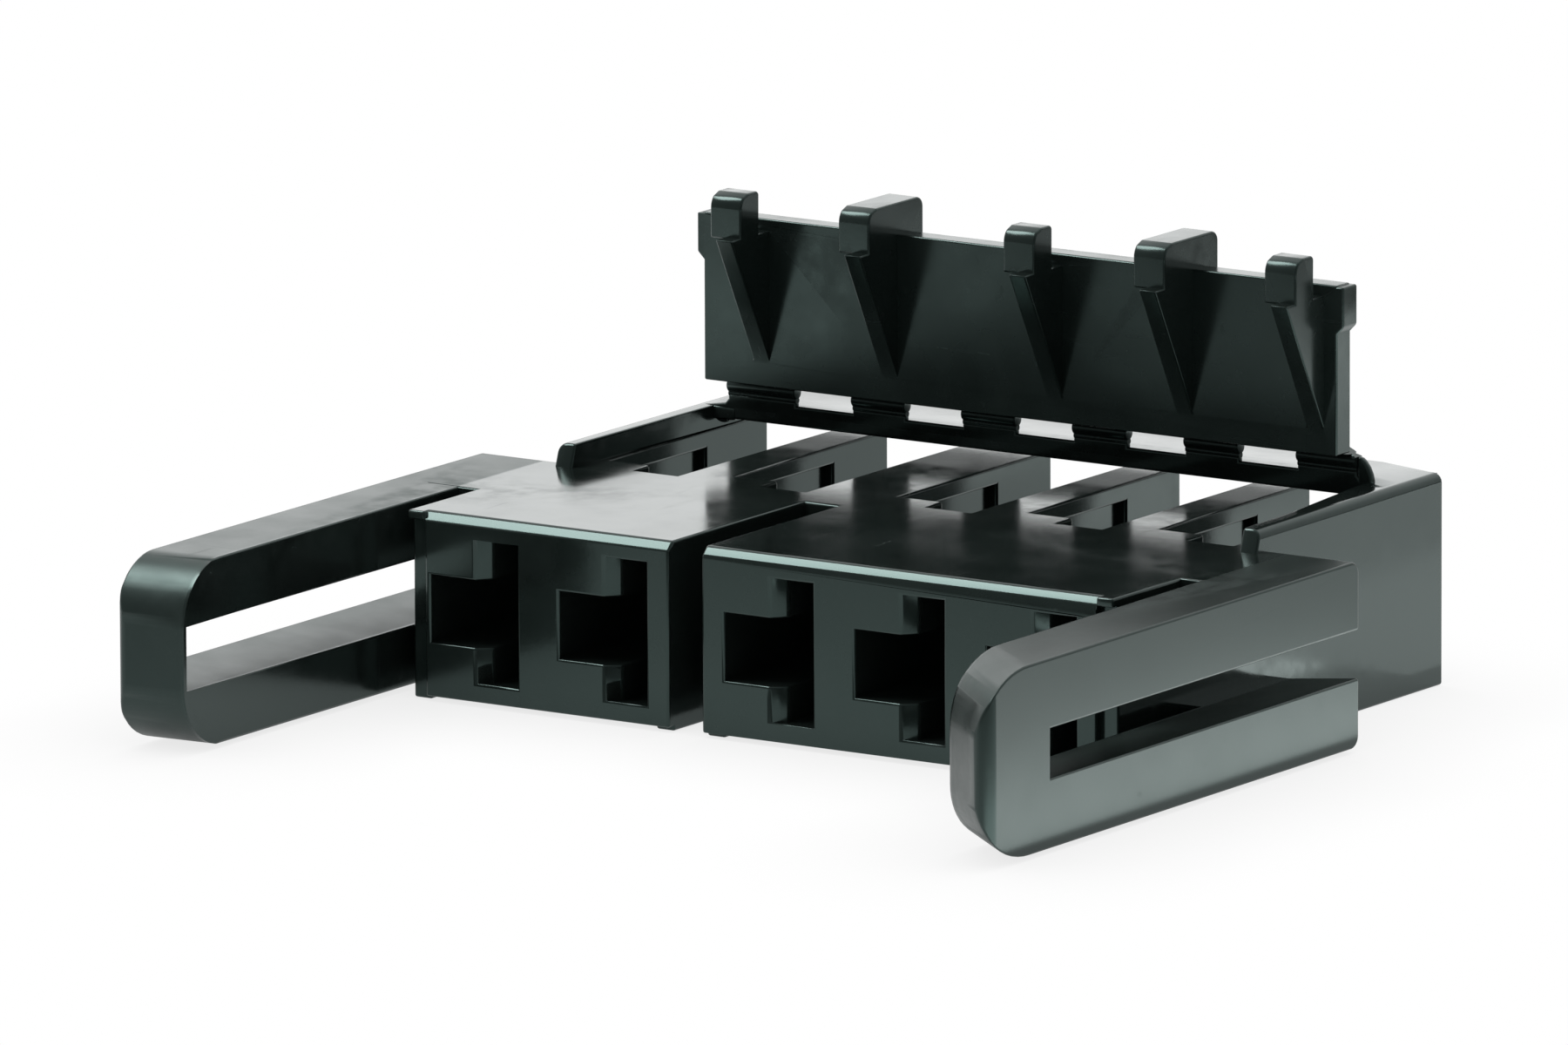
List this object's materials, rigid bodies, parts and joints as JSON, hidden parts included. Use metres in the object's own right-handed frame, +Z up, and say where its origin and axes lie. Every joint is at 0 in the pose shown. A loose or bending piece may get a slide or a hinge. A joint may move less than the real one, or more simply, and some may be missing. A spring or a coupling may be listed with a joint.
{
  "type": "wiring harness connector housing",
  "caption": "Keyed cable connector housing with terminal cavities, open wire channels, two slotted side latch arms and a film-hinged retainer cover.",
  "frame": {"origin": "middle of the bounding box in plan, on the surface that the bottom ribs stand on", "axes": "+Z up, -Y out of the mating face towards the header, +Y the way the wires leave, +X along the contact row"},
  "size_m": [0.0336, 0.0321, 0.0148],
  "materials": {
    "black_plastic": "satin black moulded plastic, glossy on the flat roof"
  },
  "bodies": {
    "housing": {"housing": "black_plastic"},
    "cover": {"cover": "black_plastic"}
  },
  "joints": [
    {"name": "cover_hinge", "type": "hinge", "parent": "housing", "child": "cover", "pos_m": [0, 0.01295, 0.00774], "axis": [1, 0, 0], "range_deg": [-90, 90]}
  ]
}
